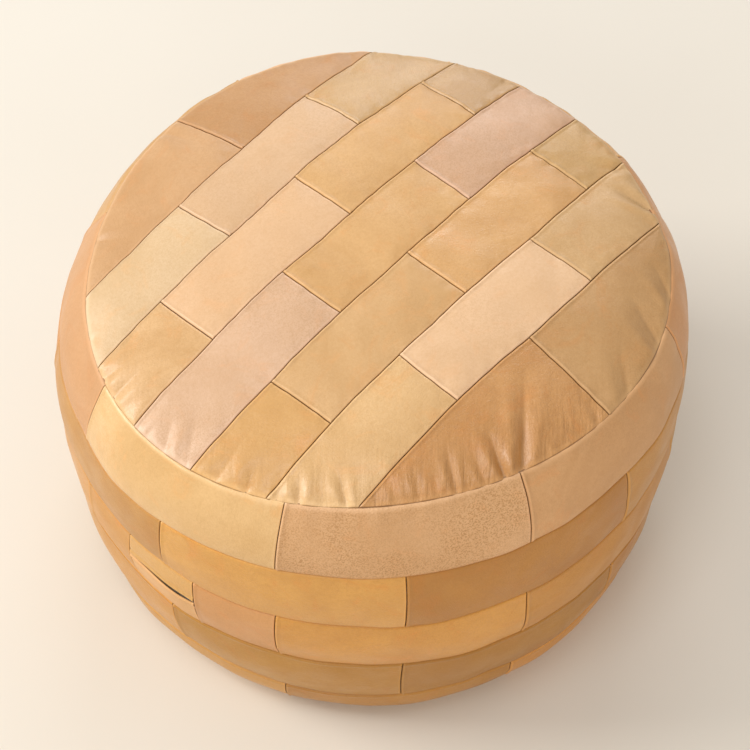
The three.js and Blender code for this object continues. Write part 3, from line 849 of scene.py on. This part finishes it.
# Patches that are lighter or darker than others of their shade: partly their own colour, partly painted
# light and shade for how brightly each patch is lit.
PATCH_TONES_AND_SHADING = {
    "lid_strip1_patch1": (0.98, 1.07, 1.18),
    "lid_strip1_patch2": (0.84, 0.85, 0.83),
    "lid_strip2_patch1": (0.90, 0.96, 1.02),
    "lid_strip2_patch2": (0.91, 0.92, 0.93),
    "lid_strip3_patch1": (1.01, 1.07, 1.31),
    "lid_strip3_patch4": (0.91, 0.88, 0.84),
    "lid_strip4_patch1": (1.03, 1.10, 1.14),
    "lid_strip4_patch3": (0.93, 0.95, 0.96),
    "lid_strip5_patch2": (1.00, 1.04, 1.15),
    "lid_strip5_patch3": (1.00, 1.00, 1.10),
    "lid_strip6_patch1": (1.25, 1.30, 1.48),
    "lid_strip6_patch2": (1.04, 1.06, 1.09),
    "lid_strip6_patch3": (1.08, 1.11, 1.28),
    "lid_strip7_patch2": (1.05, 1.04, 1.06),
    "course1_patch1": (1.01, 1.05, 0.92),
    "course1_patch2": (0.93, 0.95, 1.12),
    "course1_patch7": (0.79, 0.70, 0.59),
    "course1_patch8": (1.06, 1.25, 1.58),
    "course2_patch1": (1.01, 0.98, 0.82),
    "course2_patch8": (1.01, 1.09, 1.16),
    "course2_patch7": (0.99, 1.01, 1.16),
    "placket_side_left": (1.02, 1.05, 1.30),
    "placket_side_right": (1.06, 1.06, 1.18),
    "course3_patch1": (1.04, 1.03, 0.88),
    "course3_patch2": (0.90, 0.87, 0.81),
    "course4_patch1": (0.89, 0.86, 0.82),
    "course4_patch2": (1.12, 1.07, 0.96),
    "course5_patch1": (0.99, 0.93, 0.82),
    "course5_patch8": (1.01, 1.14, 1.32),
}


def dress(piece, shade, seed, body="cover", pebble=None, tone=(1, 1, 1)):
    """Gives a leather piece its own hide, its finish, and the body it moves with."""
    colour, gloss, grain, blotch, crease = SHADES[shade]
    if pebble is not None:
        grain = pebble
    # The tints multiplied in here paint in light: warm floor bounce on the wall, and light and shade on
    # single patches.
    patch_tone_and_shading = PATCH_TONES_AND_SHADING.get(piece.name.removesuffix("_soft"), (1, 1, 1))
    base = [min(1.0, c * t * o) for c, t, o in zip(srgb(colour), tone, patch_tone_and_shading)]
    finish = leather(f"{piece.name}_leather", base, seed, gloss, grain, blotch, crease)
    piece.data.materials.append(finish)
    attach(piece, body)


# ---- The cover ----
def build_lid():
    for strip, shades in enumerate(LID_SHADES):
        first = LID_JOINTS[strip % 2]
        before = (len(shades) - 1) // 2
        joints = [first + (k - before) * LID_PATCH_LENGTH for k in range(len(shades) - 1)]
        ends = [None, *joints, None]
        for k, shade in enumerate(shades):
            node = f"lid_strip{strip + 1}_patch{k + 1}"
            piece = lid_patch(f"{node}_soft", strip, k, ends[k], ends[k + 1])
            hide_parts(node)
            dress(piece, shade, 100 + 10 * strip + k)


def build_wall():
    arc = 2 * math.pi / WALL_PATCHES
    for course, shades in enumerate(WALL_SHADES):
        first = WALL_JOINT + (course % 2) * arc / 2
        for k, shade in enumerate(shades):
            name = f"course{course + 1}_patch{k + 1}"
            start = first + k * arc
            piece = wall_patch(f"{name}_soft", course, start, start + arc)
            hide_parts(name if course < 3 else f"course{course + 1}_ring")
            pebble = 1.0 if name == "course1_patch1" else None
            dress(piece, shade, 200 + 10 * course + k, pebble=pebble, tone=COURSE_BOUNCE_TINTS[course])


def build_placket():
    left, opening, right = PLACKET_ARCS
    start = WALL_JOINT - left - opening - right
    piece = wall_patch("placket_side_left_soft", 2, start, start + left)
    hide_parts("placket_side_left")
    dress(piece, "honey", 301, tone=COURSE_BOUNCE_TINTS[2])
    piece = wall_patch("placket_side_right_soft", 2, WALL_JOINT - right, WALL_JOINT)
    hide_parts("placket_side_right")
    dress(piece, "mauve", 302, tone=COURSE_BOUNCE_TINTS[2])
    start += left
    top, foot = SEAMS[2][1], SEAMS[3][1]
    flap_low = (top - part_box("placket_flap")[0].z - SLIT_RAISE) / (top - foot)
    rise = SLIT_OPENING / (top - foot)
    piece = lip_piece("placket_flap_soft", start, start + opening, flap_low, 0.0, -1, rise)
    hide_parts("placket_flap")
    # tone is a painted tint of warm light bounced off the floor.
    dress(piece, "gold", 303, body="flap", tone=(0.96, 0.90, 0.66))
    facing_high = (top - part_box("placket_facing")[1].z - SLIT_RAISE) / (top - foot)
    piece = lip_piece("placket_facing_soft", start, start + opening, 1.0, facing_high, 1)
    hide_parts("placket_facing")
    # tone is a painted tint of warm light bounced off the floor.
    dress(piece, "peach", 304, tone=(0.98, 0.86, 0.62))


def stuff(piece, node, material):
    """Gives a layer of padding its material and its place in the cover."""
    piece.data.materials.append(material)
    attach(piece, "cover")
    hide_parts(node)


def build_padding():
    """The wadding, the inner bag with its filling slit, and the filling."""
    _, opening, right = PLACKET_ARCS
    start, end = WALL_JOINT - right - opening, WALL_JOINT - right
    guard_low, guard_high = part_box("zip_guard")
    zip_height = (guard_low.z + guard_high.z) / 2
    around = np.linspace(end + PORT_MARGIN, start - PORT_MARGIN + 2 * math.pi, 236)
    across = np.linspace(start - PORT_MARGIN, end + PORT_MARGIN, 14)[1:-1]
    azimuths = np.concatenate([around, across])

    def in_port(p):
        inside = start - PORT_MARGIN < math.atan2(p.y, p.x) < end + PORT_MARGIN
        return inside and guard_low.z - PORT_REACH < p.z < guard_high.z + PORT_REACH

    depth = cad_high.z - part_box("wadding")[1].z
    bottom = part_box("wadding")[0].z
    outer = layer_surface(depth, bottom, azimuths, 1.0, 0.0003, 31)
    inner = layer_surface(depth + WADDING, bottom, azimuths, 0.0, 0.0003, 32)
    piece = turned_object("wadding_cap", [(outer, True), (inner, False)], bottom + 0.001, in_port)
    stuff(piece, "wadding", cloth("wadding_felt", "efe9dc", 420))

    def in_slit(p):
        middle = (start + end) / 2
        reach = FILLING_SLIT_LENGTH / 2 / SEAMS[2][0]
        level = abs(p.z - zip_height) < FILLING_SLIT_REACH
        return level and abs(math.atan2(p.y, p.x) - middle) < reach

    depth = cad_high.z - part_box("liner_bag")[1].z
    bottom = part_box("liner_bag")[0].z
    fill_depth = cad_high.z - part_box("filling")[1].z
    fill_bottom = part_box("filling")[0].z
    outer = floored(layer_surface(depth, bottom, azimuths, 0.0, 0.0002, 33))
    thick = fill_depth - LAYER_GAP - depth
    inner = floored(layer_surface(depth + thick, bottom + thick, azimuths, 0.0, 0.0002, 33))
    piece = turned_object("liner_cotton_bag", [(outer, True), (inner, False)], 0, in_slit)
    stuff(piece, "liner_bag", cloth("liner_weave", "e8e0cf", 900))
    core = floored(layer_surface(fill_depth, fill_bottom, azimuths, 0.0, 0.0006, 34))
    piece = turned_object("filling_core", [(core, True)], 0)
    stuff(piece, "filling", cloth("filling_felt", "f4f1ea", 300))


def floored(points):
    """Adds rows that carry a layer across its underside to the middle."""
    foot = points[-1]
    rows = [foot * np.array([share, share, 1]) for share in (0.97, 0.8, 0.55, 0.3, 0.1, 0.0)]
    return np.concatenate([points, np.array(rows)])


# A tooth is a short eight-sided rod from the zip's middle line: how far along its reach each ring
# sits, and how thick it is there.
TOOTH_RINGS = ((-0.22, 0.55), (-0.05, 1.0), (0.35, 0.62), (0.9, 0.72), (1.0, 0.5))
TOOTH_SIDES = 8
TOOTH_WIDTH = 0.27


def tooth(azimuth, middle, reach, inner, outer, side, first):
    """One tooth above (side 1) or below (-1) the middle line. first is its first vertex's number."""
    vertices, faces = [], []
    corner_reach = math.cos(math.pi / TOOTH_SIDES)
    for share, slim in TOOTH_RINGS:
        for k in range(TOOTH_SIDES):
            turn = 2 * math.pi * (k + 0.5) / TOOTH_SIDES
            r = (inner + outer) / 2 + (outer - inner) / 2 * slim * math.cos(turn) / corner_reach
            s = TOOTH_PITCH * TOOTH_WIDTH * slim * math.sin(turn) / corner_reach / outer
            z = middle + side * reach * share
            vertices.append((r * math.cos(azimuth + s), r * math.sin(azimuth + s), z))
    for ring in range(len(TOOTH_RINGS) - 1):
        for k in range(TOOTH_SIDES):
            a = first + TOOTH_SIDES * ring + k
            b = first + TOOTH_SIDES * ring + (k + 1) % TOOTH_SIDES
            quad = [a, b, b + TOOTH_SIDES, a + TOOTH_SIDES]
            faces.append(quad if side > 0 else [a, a + TOOTH_SIDES, b + TOOTH_SIDES, b])
    around = range(TOOTH_SIDES)
    back = range(TOOTH_SIDES - 1, -1, -1)
    last = first + TOOTH_SIDES * (len(TOOTH_RINGS) - 1)
    faces.append([first + k for k in (back if side > 0 else around)])
    faces.append([last + k for k in (around if side > 0 else back)])
    return vertices, faces


def build_teeth():
    """Two rows of teeth along the CAD coil, each row half a pitch from the other."""
    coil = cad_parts["zip_coil"]
    radii = [math.hypot(v.co.x, v.co.y) for v in coil.data.vertices]
    azimuths = [math.atan2(v.co.y, v.co.x) for v in coil.data.vertices]
    low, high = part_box("zip_coil")
    middle = (low.z + high.z) / 2
    reach = high.z - middle - 0.0002
    inner, outer = min(radii) + 0.0001, max(radii) - 0.0001
    arc = max(azimuths) - min(azimuths)
    count = int(arc * outer / TOOTH_PITCH)
    vertices, faces = [], []
    for k in range(count):
        for side in (-1, 1):
            azimuth = min(azimuths) + (k + 0.5 + 0.25 * side) * arc / count
            made = tooth(azimuth, middle, reach, inner, outer, side, len(vertices))
            vertices += made[0]
            faces += made[1]
    mesh = bpy.data.meshes.new("zip_teeth")
    mesh.from_pydata(vertices, [], faces)
    mesh.shade_smooth()
    teeth = bpy.data.objects.new("zip_teeth", mesh)
    bpy.context.scene.collection.objects.link(teeth)
    teeth.data.materials.append(brass("teeth_brass"))
    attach(teeth, "cover")
    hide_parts("zip_coil")


def build_zip():
    build_teeth()
    for node in ("zip_tape_upper", "zip_tape_lower"):
        refinish(node, cloth(f"{node}_weave", "7a5c3c", 900))
    for node in ("zip_slider", "zip_puller"):
        refinish(node, brass(f"{node}_brass"))
    refinish("zip_guard", leather("zip_guard_suede", srgb("9a7144"), 400, 0.1, 0.5))


def refinish(node, material):
    """Puts a material on a CAD node that is shown as it is."""
    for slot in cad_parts[node].material_slots:
        slot.material = material


BASE_LIFT = 0.0006
BASE_ROUNDING = 0.008


def build_base():
    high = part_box("base_panel")[1]
    radius = high.x
    rows = []
    for r in np.linspace(0, radius, 60):
        # Raised a little off the floor inside its edge.
        rows.append((r, BASE_LIFT * (1 - math.exp(-(radius - r) / BASE_ROUNDING))))
    azimuths = np.linspace(0, 2 * math.pi, 180, endpoint=False)
    grid = np.array([[(r * math.cos(a), r * math.sin(a), z) for a in azimuths] for r, z in rows])
    over = grid.copy()
    over[..., 2] = high.z
    piece = turned_object("base_panel_soft", [(grid, False), (over, True)], high.z + 0.001)
    piece.data.materials.append(leather("base_leather", srgb(SHADES["umber"][0]), 401, 0.3))
    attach(piece, "cover")
    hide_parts("base_panel")


# ---- Camera, floor and light ----
CAMERA_TARGET = Vector((0.005, -0.011, 0.2))
CAMERA_DISTANCE = 2.141
CAMERA_ELEVATION = math.radians(54.35)
CAMERA_LENS = 104.2
FLOOR_SIZE = 12.0


def build_camera():
    """A camera at the photograph's viewing angle."""
    data = bpy.data.cameras.new("camera")
    data.lens = CAMERA_LENS
    data.sensor_width = 36
    camera = bpy.data.objects.new("camera", data)
    bpy.context.scene.collection.objects.link(camera)
    back = Vector((0, -math.cos(CAMERA_ELEVATION), math.sin(CAMERA_ELEVATION)))
    camera.location = CAMERA_TARGET + back * CAMERA_DISTANCE
    camera.rotation_euler = (-back).to_track_quat("-Z", "Y").to_euler()
    bpy.context.scene.camera = camera


def area_light(name, place, target, size, energy, colour):
    data = bpy.data.lights.new(name, "AREA")
    data.size = size
    data.energy = energy
    data.color = colour
    light = bpy.data.objects.new(name, data)
    light.location = place
    light.rotation_euler = (Vector(target) - Vector(place)).to_track_quat("-Z", "Y").to_euler()
    bpy.context.scene.collection.objects.link(light)


def build_studio():
    """The plain pale floor and soft light, shown with the plain view transform."""
    bpy.context.scene.view_settings.view_transform = "Standard"
    material, nodes, links, shader = blank_material("floor_paint")
    place = nodes.new("ShaderNodeTexCoord").outputs["Object"]
    tone = mixed(nodes, links, noise(nodes, links, place, 3, 2), srgb("e3dccf"), srgb("e8e2d6"))
    links.new(tone, shader.inputs["Base Color"])
    shader.inputs["Roughness"].default_value = 0.75
    half = FLOOR_SIZE / 2
    corners = np.array([(-half, -half, 0), (half, -half, 0), (half, half, 0), (-half, half, 0)])
    floor = mesh_object("floor", corners, np.array([[0, 1, 2, 3]]))
    floor.data.materials.append(material)
    world = bpy.data.worlds.new("studio")
    bpy.context.scene.world = world
    world.use_nodes = True
    background = world.node_tree.nodes["Background"]
    background.inputs["Color"].default_value = (1.0, 0.98, 0.95, 1)
    background.inputs["Strength"].default_value = 0.55
    area_light("window", (-4.6, 0.6, 3.6), (0, 0, 0.25), 2.6, 200, (1.0, 0.985, 0.96))
    area_light("back_window", (0.4, 4.6, 2.4), (0, 0, 0.3), 2.6, 62, (0.98, 0.98, 1.0))
    area_light("skylight", (-0.6, -0.9, 4.6), (0, 0, 0.3), 1.1, 26, (0.90, 0.92, 1.0))
    area_light("floor_glow", (1.5, -1.9, 0.25), (0, 0, 0.15), 1.2, 7, (1.0, 0.70, 0.36))
    area_light("fill", (-1.6, -4.4, 3.2), (0, 0, 0.2), 3.0, 50, (1.0, 0.97, 0.92))


build_camera()
build_studio()
build_lid()
build_wall()
build_placket()
build_padding()
build_zip()
build_base()
